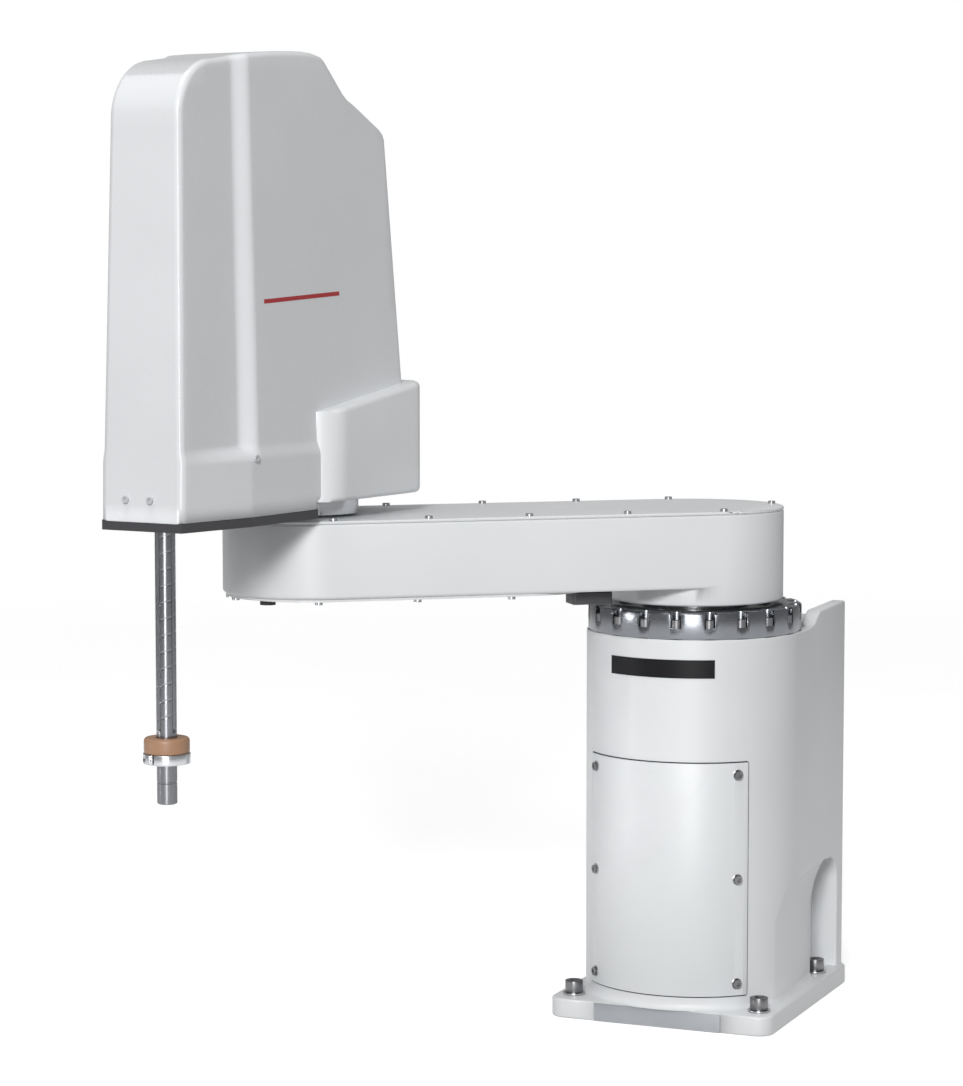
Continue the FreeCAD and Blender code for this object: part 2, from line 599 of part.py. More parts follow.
# --------------------------------------------------------------- second joint
def make_second_joint():
    at = ("arm1_length", 0)
    node("j2_circular_spline", tube("j2_circular", "seat_radius", 50, 30,
                                    (*at, "seat_bottom")), ARM1)
    node("j2_bearing_outer", tube("j2_outer_race", "seat_radius", "elbow_race_split", 22,
                                  (*at, "elbow_race_bottom")), ARM1)
    node("j2_bearing_inner", tube("j2_inner_race", "elbow_race_split - bearing_gap",
                                  "elbow_hub_radius", 22, (0, 0, "elbow_race_bottom")), ARM2)
    bottom = "seat_bottom + 34"
    shoulder = "elbow_race_bottom + race_height"
    hub = turned("j2_hub_body", [(22, bottom), ("elbow_hub_radius", bottom),
                                 ("elbow_hub_radius", shoulder), ("neck_radius", shoulder),
                                 ("neck_radius", "neck_flange_bottom"),
                                 ("neck_flange", "neck_flange_bottom"),
                                 ("neck_flange", "arm2_bottom"), (22, "arm2_bottom")])
    node("j2_hub", hub, ARM2)
    cup = turned("j2_cup", [(42, "seat_bottom + 4"), (48.5, "seat_bottom + 4"), (48.5, bottom),
                            (22, bottom), (22, f"{bottom} - 6"), (42, f"{bottom} - 6")])
    node("j2_flexspline", cup, ARM2)
    low = "seat_bottom + 6"
    high = "arm2_bottom + floor_thick + 13"
    node("j2_wave_generator", tube("j2_wave", 40, "j2_shaft_radius", 14, (0, 0, low)), ARM2)
    node("j2_motor_shaft", turned("j2_rotor", [(0, low), ("j2_shaft_radius", low),
                                               ("j2_shaft_radius", high), (0, high)]), ARM2)
    stand = "(arm2_bottom + floor_thick)"
    motor = box("j2_motor_block", ("-j2_motor_side / 2", "-j2_motor_side / 2", stand),
                ("j2_motor_side", "j2_motor_side", "j2_motor_height"))
    cap = box("j2_encoder", (-34, -34, f"{stand} + j2_motor_height"), (68, 68, 34))
    well = cylinder("j2_motor_well", "j2_shaft_radius + bearing_gap", 20,
                    (0, 0, f"{stand} - 5"))
    node("j2_motor", cut("j2_motor_body", fuse("j2_motor_outside", motor, cap), well), ARM2)


# ---------------------------------------------------------------- second link
def plan_outline(inset):
    """Half of the second link's lower outline, seen from above: front to elbow."""
    return [(f"hood_front - ({inset})", f"hood_half - ({inset})"),
            ("skirt_reach", f"skirt_half - ({inset})")]


def plan_polygon(inset, rear):
    half = plan_outline(inset) + [(rear, f"skirt_half - ({inset})")]
    return half + [(x, f"-({y})") for x, y in reversed(half)]


def make_arm2_castings():
    strip = padded("strip", "XY_Plane", plan_polygon(1, "strip_rear"),
                   "hood_foot - strip_bottom", "strip_bottom")
    shaft_hole = cylinder("strip_hole", 24, 60, ("arm2_length", 0, "strip_bottom - 20"))
    node("arm2_base_plate", cut("strip_bored", strip, shaft_hole), ARM2)

    side = padded("boss_side", "XZ_Plane",
                  [("-boss_rear", "arm2_bottom"), ("boss_front", "arm2_bottom"),
                   ("boss_front", "boss_low_top"), ("-boss_rear", "boss_high_top")],
                  "2 * boss_half", both_ways=True)
    rear_round = fillet("boss_rear_round", side, size("boss_corner"),
                        lambda edge: upright(edge) and edge.BoundBox.XMax < 0)
    rounded = fillet("boss_rounded", rear_round, size("boss_front_corner"),
                     lambda edge: upright(edge) and edge.BoundBox.XMin > size("boss_front") - 1)
    floor = padded("floor", "XY_Plane", plan_polygon("hood_wall + 1", "strip_rear - 2"),
                   "floor_thick + arm2_bottom - hood_foot", "hood_foot")
    shell = fuse("arm2_shell", rounded, floor)
    top = "arm2_bottom + floor_thick"
    room = box("boss_room", ("boss_wall - boss_rear", "boss_wall - boss_half", top),
               ("boss_rear + boss_front - 2 * boss_wall", "2 * (boss_half - boss_wall)",
                f"boss_low_top - boss_wall - ({top})"))
    room_round = fillet("boss_room_round", room, size("boss_front_corner") - size("boss_wall"),
                        lambda edge: upright(edge) and edge.BoundBox.XMin > 0)
    mouth = box("boss_mouth", ("hood_wall + 1 - hood_rear", "-passage_half", top),
                ("hood_rear - hood_wall - 1 + boss_front - boss_wall", "2 * passage_half", 200))
    passage = box("boss_passage", (80, "-passage_half", top), (130, "2 * passage_half", 200))
    shaft_well = cylinder("floor_bore", "shaft_passage", 60, ("arm2_length", 0, "arm2_bottom - 20"))
    motor_bore = cylinder("motor_bore", 20, 60, (0, 0, "arm2_bottom - 20"))
    node("arm2_casting", cut("arm2_hollow", shell, room_round, mouth, passage, shaft_well,
                             motor_bore), ARM2)


HOOD_CORNER = 75.0
HOOD_LEAN = 12.0
HOOD_ARCH = 17.0
ROOF_DROPS = [(230, 8), (160, 2), (105, 0), (76, 3)]
SHOULDER_DROPS = [(64, 6.5), (20, 47.5), (-4, 60), (-65, 90), (-76, 103)]
SHOULDER_INSET = 0.6


def hood_profile(inset):
    """The hood seen from its side, as (reach, height) corners, from the front foot up.

    With an inset the same corners bound its room, which is open below.
    """
    below = 2 if inset else 0
    foot = size("hood_foot") - below
    front = size("hood_front")
    top = size("hood_top")
    centre = (front - HOOD_LEAN - HOOD_CORNER, top - HOOD_ARCH - HOOD_CORNER)
    points = [(front - inset, foot)]
    for step in range(9):
        angle = math.radians(8 + 80 * step / 8)
        points.append((centre[0] + (HOOD_CORNER - inset) * math.cos(angle),
                       centre[1] + (HOOD_CORNER - inset) * math.sin(angle)))
    points += [(x, top - drop - inset) for x, drop in ROOF_DROPS]
    points += [(x + SHOULDER_INSET * inset, top - drop - inset) for x, drop in SHOULDER_DROPS]
    wall = size("boss_front") - below
    rise = size("boss_high_top") - size("boss_low_top")
    slope = rise / (size("boss_rear") + size("boss_front"))
    seat = size("boss_low_top") + slope * (size("boss_front") + size("hood_rear"))
    points += [(inset - size("hood_rear"), seat - below),
               (wall, size("boss_low_top") - below), (wall, foot)]
    return points


def prism(points, half_width):
    """An outline in the link's side view, made 2 * half_width wide."""
    corners = [Vector(x, -half_width, z) for x, z in points]
    face = Part.Face(Part.makePolygon(corners + corners[:1]))
    return face.extrude(Vector(0, 2 * half_width, 0))


def tapered_block(reach, rear, sections):
    """A block that narrows upwards, its front corners cut back at 45 degrees.

    Each section is its height, its half width at the very front and further back.
    """
    rims = []
    for height, front_half, half in sections:
        corners = [(reach, front_half), (reach + front_half - half, half), (rear, half)]
        if front_half == half:
            corners.pop(1)
        corners += [(x, -y) for x, y in reversed(corners)]
        points = [Vector(x, y, height) for x, y in corners]
        rims.append(Part.makePolygon(points + points[:1]))
    return Part.makeLoft(rims, True, True)


def hood_block(inset):
    outline = hood_profile(inset)
    foot = outline[0][1]
    top = size("hood_top")
    half = size("hood_half") - inset
    high_half = size("hood_high_half") - inset
    side_half = size("skirt_half") - 2 - inset
    skirt_half = size("skirt_half")
    behind = -2 * size("boss_rear")
    within = prism(outline, 2 * skirt_half)
    spine = tapered_block(size("hood_front"), behind, [(foot, half, half),
                                                       (top, high_half, high_half)])
    rear = tapered_block(size("skirt_reach") - inset, behind,
                         [(foot, half, side_half),
                          (top, high_half, size("side_high_half") - inset)])
    skirt_plan = [(size("hood_front") - inset, half),
                  (size("skirt_reach"), skirt_half - inset),
                  (size("boss_front") - size("boss_wall"), skirt_half - inset)]
    skirt_plan += [(x, -y) for x, y in reversed(skirt_plan)]
    low = [Vector(x, y, foot) for x, y in skirt_plan]
    skirt = Part.Face(Part.makePolygon(low + low[:1])).extrude(
        Vector(0, 0, size("crease_height") - inset - foot))
    parts = [block.common(within) for block in (spine, rear, skirt)]
    return parts[0].fuse(parts[1:]).removeSplitter()


def hood_screw_places():
    half = size("skirt_half")
    front = size("hood_front") - 0.5
    height = size("hood_foot") + 26
    places = [facing((front, y, height), (1, 0, 0)) for y in (-22, 14)]
    along = size("skirt_reach") - 8
    places += [facing((along, side * half, size("crease_height") - 7), (0, side, 0))
               for side in (-1, 1)]
    return places


def make_hood():
    shell = hood_block(0).cut(hood_block(size("hood_wall")))
    for place in hood_screw_places():
        drill = Part.makeCylinder(CLEARANCE, 12, Vector(0, 0, -8))
        drill.Placement = place
        shell = shell.cut(drill)
    hood = doc.addObject("Part::Feature", "hood_shell")
    hood.Shape = shell
    node("hood", hood, ARM2)
    node("hood_screws", cap_screws("hood_screw", hood_screw_places(), 2.5,
                                   size("hood_wall") + 0.8, 4.5, 3), ARM2)


# ------------------------------------------------------------- drives in link 2
def pulley(name, radius, bore, bottom, at=(0, 0)):
    """A belt pulley with a flange above and below the belt."""
    hub = tube(name + "_hub", radius, bore, "belt_width + 2", (*at, f"{bottom} - 1"))
    low = tube(name + "_low", f"{radius} + 3", bore, 1.5, (*at, f"{bottom} - 2.5"))
    high = tube(name + "_high", f"{radius} + 3", bore, 1.5, (*at, f"{bottom} + belt_width + 1"))
    return fuse(name, hub, low, high)


def belt_loop(name, near, far_radius, near_radius, bottom):
    """The solid inside a line that runs round the shaft's wheel and the motor's wheel."""
    far = size("arm2_length")
    swing = math.degrees(math.asin((far_radius - near_radius) / (far - near)))
    arcs = []
    for centre, radius, start, stop in ((far, far_radius, -90 - swing, 90 + swing),
                                        (near, near_radius, 90 + swing, 270 - swing)):
        turns = [math.radians(angle) for angle in (start, (start + stop) / 2, stop)]
        arcs.append([Vector(centre + radius * math.cos(turn), radius * math.sin(turn), 0)
                     for turn in turns])
    edges = []
    for arc, after in ((arcs[0], arcs[1]), (arcs[1], arcs[0])):
        edges.append(Part.Arc(*arc).toShape())
        edges.append(Part.LineSegment(arc[2], after[0]).toShape())
    item = doc.addObject("Part::Feature", name)
    item.Shape = Part.Face(Part.Wire(edges)).extrude(Vector(0, 0, size("belt_width")))
    item.Placement = Placement(Vector(0, 0, bottom), Rotation())
    return item


def belt(name, near, far_radius, near_radius, bottom):
    """A toothed belt round the shaft's wheel and the motor's wheel, 1.6 mm thick."""
    outside = belt_loop(name + "_outside", near, far_radius + 1.8, near_radius + 1.8, bottom)
    inside = belt_loop(name + "_inside", near, far_radius + 0.2, near_radius + 0.2, bottom)
    return cut(name, outside, inside)


def motor_on(name, place, side, bottom, height, shaft_radius):
    """A servo motor standing on a plate, with its encoder cap and shaft well."""
    half = side / 2
    block = box(name + "_block", (f"{place} - {half}", -half, bottom), (side, side, height))
    nose = box(name + "_cap", (f"{place} - {half - 6}", -half + 6, f"{bottom} + {height}"),
               (side - 12, side - 12, 26))
    well = cylinder(name + "_well", shaft_radius + 0.4, 30, (place, 0, f"{bottom} - 10"))
    return cut(name, fuse(name + "_outside", block, nose), well)


def make_motor_frame():
    plate = box("mid", (78, -52, "mid_plate"), (290, 104, "carrier_thick"))
    posts = [cylinder(f"mid_post_{index}", 6, "mid_plate - arm2_bottom - floor_thick",
                      (x, y, "arm2_bottom + floor_thick"))
             for index, (x, y) in enumerate([(356, 44), (356, -44), (206, 62), (206, -62)])]
    wings = box("mid_wings", (196, -68, "mid_plate"), (20, 136, "carrier_thick"))
    nut_seat = cylinder("screw_seat", 46, 20, ("arm2_length", 0, "mid_plate"))
    plate_all = fuse("mid_all", plate, wings, nut_seat, *posts)
    bore = cylinder("screw_bore", "shaft_passage", 60, ("arm2_length", 0, "mid_plate - 20"))
    roll_hole = cylinder("roll_hole", 16, 60, ("roll_motor_place", 0, "mid_plate - 20"))
    trim = box("mid_trim", ("hood_front - 9", -80, 700), (40, 160, 200))
    node("motor_frame", cut("mid_bored", plate_all, bore, roll_hole, trim), ARM2)
    upper = box("upper", ("lift_motor_place - 42", -42, "top_plate"), (78, 84, "carrier_thick"))
    spacers = [cylinder(f"upper_post_{index}", 5, "top_plate - mid_plate - carrier_thick",
                        (f"lift_motor_place + {x}", y, "mid_plate + carrier_thick"))
               for index, (x, y) in enumerate([(-34, 34), (-34, -34), (28, 34), (28, -34)])]
    hole = cylinder("lift_hole", 16, 60, ("lift_motor_place", 0, "top_plate - 20"))
    node("lift_motor_bracket", cut("upper_bored", fuse("upper_all", upper, *spacers), hole), ARM2)


def make_wrist_drives():
    make_motor_frame()
    node("roll_motor", motor_on("roll_motor_body", size("roll_motor_place"), 56,
                                size("mid_plate") + size("carrier_thick"), 92, 6), ARM2)
    node("lift_motor", motor_on("lift_motor_body", size("lift_motor_place"), 60,
                                size("top_plate") + size("carrier_thick"), 100, 7), ARM2)
    brake_bottom = size("top_plate") + size("carrier_thick") + 100 + 26
    node("lift_brake", tube("brake", 26, 9, 22, ("lift_motor_place", 0, brake_bottom)), ARM2)
    drives = (("roll", "roll_motor_place", "roll_belt_bottom", 6, size("mid_plate") + 28),
              ("lift", "lift_motor_place", "lift_belt_bottom", 7, size("top_plate") + 28))
    for name, place, bottom, shaft, top in drives:
        wheel = pulley(name + "_drive_pulley", "drive_wheel_radius", shaft, bottom)
        centre = Placement(Vector(size(place), 0, 0), Rotation())
        low = size(bottom) - 4
        rotor = cylinder(name + "_rotor", shaft, top - low, (0, 0, low))
        node(name + "_motor_rotor", fuse(name + "_motor_turning", wheel, rotor),
             ARM2.multiply(centre))
        node(name + "_belt", belt(name + "_loop", size(place), size("wheel_radius"),
                                  size("drive_wheel_radius"), size(bottom)), ARM2)
    node("roll_bearing", tube("roll_race", "shaft_passage", "nut_radius + bearing_gap", 20,
                              ("arm2_length", 0, "arm2_bottom + 1")), ARM2)
    node("lift_bearing", tube("lift_race", "shaft_passage", "nut_radius + bearing_gap", 18,
                              ("arm2_length", 0, "mid_plate + 1")), ARM2)
    bore = "shaft_radius + slide_gap"
    node("spline_nut", tube("spline_sleeve", "nut_radius", bore, 54, (0, 0, "arm2_bottom + 1")),
         SHAFT)
    node("roll_pulley", pulley("roll_wheel", "wheel_radius", "nut_radius", "roll_belt_bottom"),
         SHAFT)
    node("screw_nut", tube("screw_sleeve", "nut_radius", bore, 70, (0, 0, "mid_plate + 1")), SHAFT)
    node("lift_pulley", pulley("lift_wheel", "wheel_radius", "nut_radius", "lift_belt_bottom"),
         SHAFT)
    board = box("board_sheet", (-40, 54, 900), (150, 1.6, 130))
    posts = []
    for height, reach in ((906, 10.6), (1024, 7.6)):
        feet = [facing((x, 55.6, height), (0, 1, 0)) for x in (-34, 104)]
        posts += pins(f"board_post_{height}", feet, 4, 0, reach)
    chips = [box(f"board_chip_{index}", (x, 50, z), (w, 4, h))
             for index, (x, z, w, h) in enumerate([(-28, 990, 40, 26), (30, 985, 26, 30),
                                                   (76, 925, 20, 60), (-26, 920, 60, 18)])]
    node("circuit_board", fuse("board", board, *posts, *chips), ARM2)


def make_tool_shaft():
    rod = tube("rod", "shaft_radius", "shaft_bore", "shaft_top - shaft_bottom",
               (0, 0, "shaft_bottom"))
    plain = "damper_top + 6"
    grooves = [cylinder(f"groove_{index}", "groove_radius", f"shaft_top + 20 - ({plain})")
               for index in range(3)]
    for index, groove in enumerate(grooves):
        turn = math.radians(30 + 120 * index)
        reach = size("shaft_radius") + 1.1
        bind_base(groove, (reach * math.cos(turn), reach * math.sin(turn), plain))
    band = tube("band", "shaft_radius + 2", "shaft_radius - 0.6", 1.2,
                (0, 0, "shaft_bottom + band_rise"))
    node("spline_shaft", cut("rod_grooved", rod, band, *grooves), SHAFT)
    collar = turned("collar_ring", [("shaft_radius", "collar_bottom"),
                                    ("collar_radius - 1", "collar_bottom"),
                                    ("collar_radius", "collar_bottom + 1"),
                                    ("collar_radius", "damper_bottom"),
                                    ("shaft_radius", "damper_bottom")])
    slot = box("collar_slot", ("shaft_radius - 1", -1, "collar_bottom - 2"), (24, 2, 20))
    screw_at = facing((21.5, -7, (size("collar_bottom") + size("damper_bottom")) / 2), (0, -1, 0))
    room = pins("collar_screw_room", [screw_at], 4.2, 0, 30)
    bore = pins("collar_screw_bore", [screw_at], 2.2, -18, 18)
    node("stopper_collar", cut("collar", collar, slot, *room, *bore), SHAFT)
    node("collar_screw", cap_screws("collar_bolt", [screw_at], 2, 17, 3.5, 4), SHAFT)
    node("damper_ring", turned("damper", [("shaft_radius + 0.5", "damper_bottom"),
                                          ("collar_radius - 1.5", "damper_bottom"),
                                          ("collar_radius - 1", "damper_bottom + 3"),
                                          ("collar_radius - 1", "damper_top - 3"),
                                          ("collar_radius - 3", "damper_top"),
                                          ("shaft_radius + 0.5", "damper_top")]), SHAFT)
    node("upper_stop", tube("upper_ring", 22, "shaft_radius", 14, (0, 0, "shaft_top - 18")), SHAFT)
    wiper = tube("wiper", 24, "shaft_radius + 0.4", 10, ("arm2_length", 0, "strip_bottom"))
    node("shaft_wiper", wiper, ARM2)


make_base_casting()
make_base_fittings()
make_connector_panel()
make_first_joint()
make_arm1()
make_second_joint()
make_arm2_castings()
make_hood()
make_wrist_drives()
make_tool_shaft()

# ------------------------------------------------------------ check and write
doc.recompute()
failed = [f"{item.Name}: {item.getStatusString()}" for item in doc.Objects
          if "Invalid" in item.State or "Error" in item.State]
if failed:
    raise RuntimeError("could not be worked out: " + "; ".join(failed))
for item in NODES:
    if item.Shape.isNull() or not item.Shape.isValid():
        raise RuntimeError(f"{item.Label} has no valid shape")
for item in NODES:
    item.Shape.exportStep(f"parts/{item.Label}.step")
print(len(NODES), "sub-parts written")
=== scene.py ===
import json
import math

import bmesh
import bpy
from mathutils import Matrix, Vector

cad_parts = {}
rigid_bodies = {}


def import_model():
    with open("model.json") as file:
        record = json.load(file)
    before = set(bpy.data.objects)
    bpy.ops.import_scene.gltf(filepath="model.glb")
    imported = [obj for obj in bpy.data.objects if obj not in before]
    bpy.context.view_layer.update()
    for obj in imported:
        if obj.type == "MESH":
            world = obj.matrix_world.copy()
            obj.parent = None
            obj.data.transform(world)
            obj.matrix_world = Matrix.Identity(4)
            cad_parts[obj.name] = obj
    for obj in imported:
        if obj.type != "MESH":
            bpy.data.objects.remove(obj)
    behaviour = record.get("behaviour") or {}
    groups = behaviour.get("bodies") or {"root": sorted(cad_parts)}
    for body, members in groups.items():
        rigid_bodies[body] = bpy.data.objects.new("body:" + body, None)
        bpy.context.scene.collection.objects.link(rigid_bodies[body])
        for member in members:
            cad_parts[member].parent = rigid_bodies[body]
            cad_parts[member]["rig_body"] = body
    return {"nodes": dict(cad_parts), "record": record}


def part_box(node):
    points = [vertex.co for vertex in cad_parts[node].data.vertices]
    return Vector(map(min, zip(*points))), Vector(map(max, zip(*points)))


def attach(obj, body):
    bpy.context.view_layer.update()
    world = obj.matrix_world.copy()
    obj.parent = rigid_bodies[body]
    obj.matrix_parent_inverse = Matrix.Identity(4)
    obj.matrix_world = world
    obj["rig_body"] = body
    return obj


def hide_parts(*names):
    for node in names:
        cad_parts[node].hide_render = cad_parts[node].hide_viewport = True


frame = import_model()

MM = 0.001
FULL_TURN = 2 * math.pi
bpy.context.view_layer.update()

# Sizes of the frame that can't be read from its boxes.
PLATE_THICK = 26 * MM
FLAT_HALF, FLAT_END = 134 * MM, 105 * MM
COVER_HALF_ANGLE = math.radians(48)
COVER_THICK = 3 * MM

# ------------------------------------------------------------ places in the frame
NODES = frame["nodes"]


def centre_of(node):
    low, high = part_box(node)
    return (low + high) / 2


elbow = centre_of("j2_hub").xy
wrist = centre_of("spline_shaft").xy
along = (wrist - elbow).normalized()
across = Vector((-along.y, along.x))


def on_arm2(u, v, z):
    """A point given along, across and above the second link, in metres."""
    flat = elbow + along * u + across * v
    return Vector((flat.x, flat.y, z))


def arm2_place(point):
    """How far a point is along, across and above the second link, in metres."""
    flat = Vector(point.xy) - elbow
    return flat.dot(along), flat.dot(across), point.z


# ------------------------------------------------------------ materials
class Finish:
    """A material with short calls for adding and joining its nodes."""

    def __init__(self, name):
        self.material = bpy.data.materials.new(name)
        self.material.use_nodes = True
        self.tree = self.material.node_tree
        self.shader = next(n for n in self.tree.nodes if n.type == "BSDF_PRINCIPLED")
        self.place = self.add("ShaderNodeTexCoord").outputs["Object"]

    def add(self, kind, **settings):
        node = self.tree.nodes.new(kind)
        for name, value in settings.items():
            setattr(node, name, value)
        return node

    def join(self, source, target):
        self.tree.links.new(source, target)

    def feed(self, socket, value):
        if isinstance(value, bpy.types.NodeSocket):
            self.join(value, socket)
        else:
            socket.default_value = value

    def stretched(self, stretch):
        node = self.add("ShaderNodeMapping")
        self.join(self.place, node.inputs["Vector"])
        node.inputs["Scale"].default_value = stretch
        return node.outputs["Vector"]

    def noise(self, scale, detail=3.0, stretch=(1, 1, 1)):
        node = self.add("ShaderNodeTexNoise")
        self.join(self.stretched(stretch), node.inputs["Vector"])
        node.inputs["Scale"].default_value = scale
        node.inputs["Detail"].default_value = detail
        return node.outputs["Fac"]

    def span(self, value, low, high, to_low=0.0, to_high=1.0):
        node = self.add("ShaderNodeMapRange")
        self.join(value, node.inputs["Value"])
        for name, number in zip(("From Min", "From Max", "To Min", "To Max"),
                                (low, high, to_low, to_high)):
            node.inputs[name].default_value = number
        return node.outputs["Result"]

    def maths(self, operation, first, second=0.0):
        node = self.add("ShaderNodeMath", operation=operation)
        self.feed(node.inputs[0], first)
        self.feed(node.inputs[1], second)
        return node.outputs["Value"]

    def blend(self, amount, first, second):
        node = self.add("ShaderNodeMix", data_type="RGBA")
        colours = [s for s in node.inputs if s.type == "RGBA"]
        self.join(amount, node.inputs["Factor"])
        for socket, value in zip(colours, (first, second)):
            self.feed(socket, value)
        return next(s for s in node.outputs if s.type == "RGBA")

    def edges(self, radius, gain):
        """How near a sharp edge the surface is, broken up so that wear is uneven."""
        bevel = self.add("ShaderNodeBevel", samples=4)
        bevel.inputs["Radius"].default_value = radius
        dot = self.add("ShaderNodeVectorMath", operation="DOT_PRODUCT")
        self.join(bevel.outputs["Normal"], dot.inputs[0])
        self.join(self.add("ShaderNodeNewGeometry").outputs["Normal"], dot.inputs[1])
        bent = self.maths("SUBTRACT", 1.0, dot.outputs["Value"])
        patches = self.span(self.noise(45, 4), 0.45, 0.62)
        node = self.maths("MULTIPLY", self.maths("MULTIPLY", bent, gain), patches)
        return self.span(node, 0.0, 1.0)

    def bump(self, height, distance):
        node = self.add("ShaderNodeBump")
        self.join(height, node.inputs["Height"])
        node.inputs["Distance"].default_value = distance
        node.inputs["Strength"].default_value = 1.0
        self.join(node.outputs["Normal"], self.shader.inputs["Normal"])


WEAR_RADIUS = 1.2 * MM
WEAR_GAIN = 6.0
WEAR_ROUGHER = 0.12
COAT_ROUGHNESS = 0.12


def colour(red, green, blue):
    return (red, green, blue, 1.0)


def tinted(shade, factor):
    return colour(*(channel * factor for channel in shade[:3]))


def finish(name, shade, rough, metal=0.0, cloud=0.96, grain=700, relief=0.00003,
           stretch=(1, 1, 1), rough_spread=0.06, worn=None, wear=0.5, coat=0.0,
           shine=0.5):
    """A surface with soft cloudy colour, fine grain in gloss and relief, and worn edges."""
    look = Finish(name)
    clouds = look.span(look.noise(7, 4), 0.3, 0.7)
    fine = look.noise(grain, 3, stretch)
    base = look.blend(clouds, shade, tinted(shade, cloud))
    gloss = look.span(fine, 0.25, 0.75, rough - rough_spread, rough + rough_spread)
    if worn:
        edge = look.maths("MULTIPLY", look.edges(WEAR_RADIUS, WEAR_GAIN), wear)
        base = look.blend(edge, base, worn)
        gloss = look.maths("ADD", gloss, look.maths("MULTIPLY", edge, WEAR_ROUGHER))
    look.feed(look.shader.inputs["Base Color"], base)
    look.feed(look.shader.inputs["Roughness"], gloss)
    look.shader.inputs["Metallic"].default_value = metal
    look.shader.inputs["Specular IOR Level"].default_value = shine
    if coat:
        look.shader.inputs["Coat Weight"].default_value = coat
        look.shader.inputs["Coat Roughness"].default_value = COAT_ROUGHNESS
    look.bump(fine, relief)
    return look.material


WHITE = colour(1, 1, 1)
PRIMER = colour(0.50, 0.51, 0.52)
LOOKS = {
    "light_paint": finish("cast_paint", colour(0.80, 0.815, 0.83), 0.40, worn=PRIMER,
                          grain=520, relief=0.00005),
    "cover_paint": finish("sheet_paint", colour(0.79, 0.81, 0.825), 0.36, worn=PRIMER,
                          grain=600, relief=0.00003),
    "hood_shell": finish("hood_plastic", colour(0.775, 0.79, 0.81), 0.30, worn=PRIMER,
                         wear=0.25, grain=900, relief=0.00002, coat=0.15),
    "dark_paint": finish("dark_paint", colour(0.050, 0.050, 0.056), 0.48,
                         cloud=0.8, worn=colour(0.25, 0.25, 0.26)),
    "polished_steel": finish("polished_steel", colour(0.74, 0.75, 0.78), 0.14, metal=1.0,
                             grain=60, stretch=(1, 1, 30), relief=0.00001,
                             rough_spread=0.05),
    "zinc_steel": finish("plated_steel", colour(0.50, 0.50, 0.51), 0.30, metal=1.0,
                         cloud=0.8, grain=900, rough_spread=0.1, relief=0.00002),
    "panel_sheet": finish("plain_aluminium", colour(0.68, 0.69, 0.70), 0.42, metal=1.0,
                          grain=90, stretch=(1, 1, 40), relief=0.00001),
    "bearing_steel": finish("ground_steel", colour(0.58, 0.59, 0.61), 0.24, metal=1.0,
                            grain=80, stretch=(1, 1, 30), relief=0.00001),
    "pulley_metal": finish("anodised", colour(0.60, 0.61, 0.63), 0.38, metal=1.0),
    "motor_black": finish("motor_coat", colour(0.022, 0.022, 0.025), 0.42, cloud=0.7,
                          relief=0.00006, worn=colour(0.2, 0.2, 0.2)),
    "connector_plastic": finish("connector_plastic", colour(0.035, 0.035, 0.038), 0.5,
                                cloud=0.8, grain=1500),
    "black_rubber": finish("black_rubber", colour(0.018, 0.018, 0.018), 0.7, cloud=0.7,
                           grain=1200),
    "damper_urethane": finish("urethane", colour(0.44, 0.245, 0.145), 0.42, cloud=0.8,
                              grain=300, relief=0.00008),
    "board_green": finish("board", colour(0.02, 0.13, 0.05), 0.35, cloud=0.6, grain=250),
}
LABEL = finish("label_print", colour(0.010, 0.010, 0.012), 0.40, cloud=0.7, grain=800,
               shine=0.15)
ACCENT = finish("accent_red", colour(0.46, 0.03, 0.035), 0.35, grain=900)
MILLED = finish("milled_pad", colour(0.37, 0.385, 0.41), 0.42, metal=0.6, cloud=0.9,
                grain=110, stretch=(1, 1, 30), relief=0.00002, worn=colour(0.6, 0.6, 0.6))
SHAFT_STEEL = finish("shaft_steel", colour(0.23, 0.235, 0.25), 0.26, metal=1.0, cloud=0.8,
                     grain=60, stretch=(1, 1, 0.05), relief=0.00001, rough_spread=0.05)
RING_STEEL = finish("ring_steel", colour(0.24, 0.25, 0.27), 0.24, metal=1.0, cloud=0.75,
                    grain=60, stretch=(1, 1, 30), relief=0.00001, rough_spread=0.06)
DARK_STEEL = finish("dark_screws", colour(0.24, 0.24, 0.25), 0.34, metal=1.0, cloud=0.7,
                    grain=900, relief=0.00002)
PALE_SCREWS = finish("pale_screws", colour(0.60, 0.61, 0.63), 0.36, cloud=0.85, grain=900)
OWN_LOOKS = {"label_plate": LABEL, "crown_ring": RING_STEEL, "base_cover_screws": DARK_STEEL,
             "hood_screws": PALE_SCREWS, "crown_ring_bolts": DARK_STEEL,
             "stopper_collar": LOOKS["bearing_steel"]}
SLOT_OF = {part["node"]: part["material_slot"] for part in frame["record"]["subparts"]}
for name, node in NODES.items():
    for slot in node.material_slots:
        slot.material = OWN_LOOKS.get(name, LOOKS[SLOT_OF[name]])
BODY_OF = {name: node["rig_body"] for name, node in NODES.items()}


# ------------------------------------------------------------ pieces
JOIN_GAP = 0.002 * MM
FLAT_ANGLE = math.radians(0.6)
SHARP_ANGLE = math.radians(28)


def add_piece(name, mesh, body, slot, *replaced, look=None):
    """A mesh as one body's object, with its slot's material or the given look, in place of
    named nodes.
    """
    piece = bpy.data.objects.new(name, mesh)
    bpy.context.scene.collection.objects.link(piece)
    mesh.materials.clear()
    mesh.materials.append(look or LOOKS[slot])
    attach(piece, body)
    if replaced:
        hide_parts(*replaced)
    return piece


